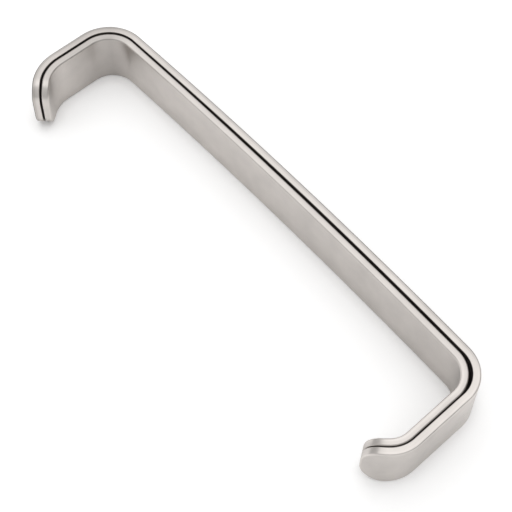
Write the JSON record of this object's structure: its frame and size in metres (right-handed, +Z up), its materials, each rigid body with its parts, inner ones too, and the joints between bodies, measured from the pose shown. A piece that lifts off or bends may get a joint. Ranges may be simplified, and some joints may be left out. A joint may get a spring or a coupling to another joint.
{
  "type": "handheld surgical retractor",
  "caption": "Nested flat-bar surgical retractors with a shallow blade at one end, a deep blade at the other and inward-curled lips, for holding back wound edges by hand.",
  "frame": {"origin": "middle of the footprint of the nested bars, on the surface that their long edges stand on", "axes": "+X along the handles from the shallow blades to the deep blades, -Y the way the blades point, +Z up across the width of the bars"},
  "size_m": [0.1502, 0.0394, 0.016],
  "materials": {
    "satin_steel": "satin stainless steel with a fine grain, edges polished a little brighter"
  },
  "bodies": {
    "root": {"outer_retractor": "satin_steel", "inner_retractor": "satin_steel"}
  },
  "joints": []
}
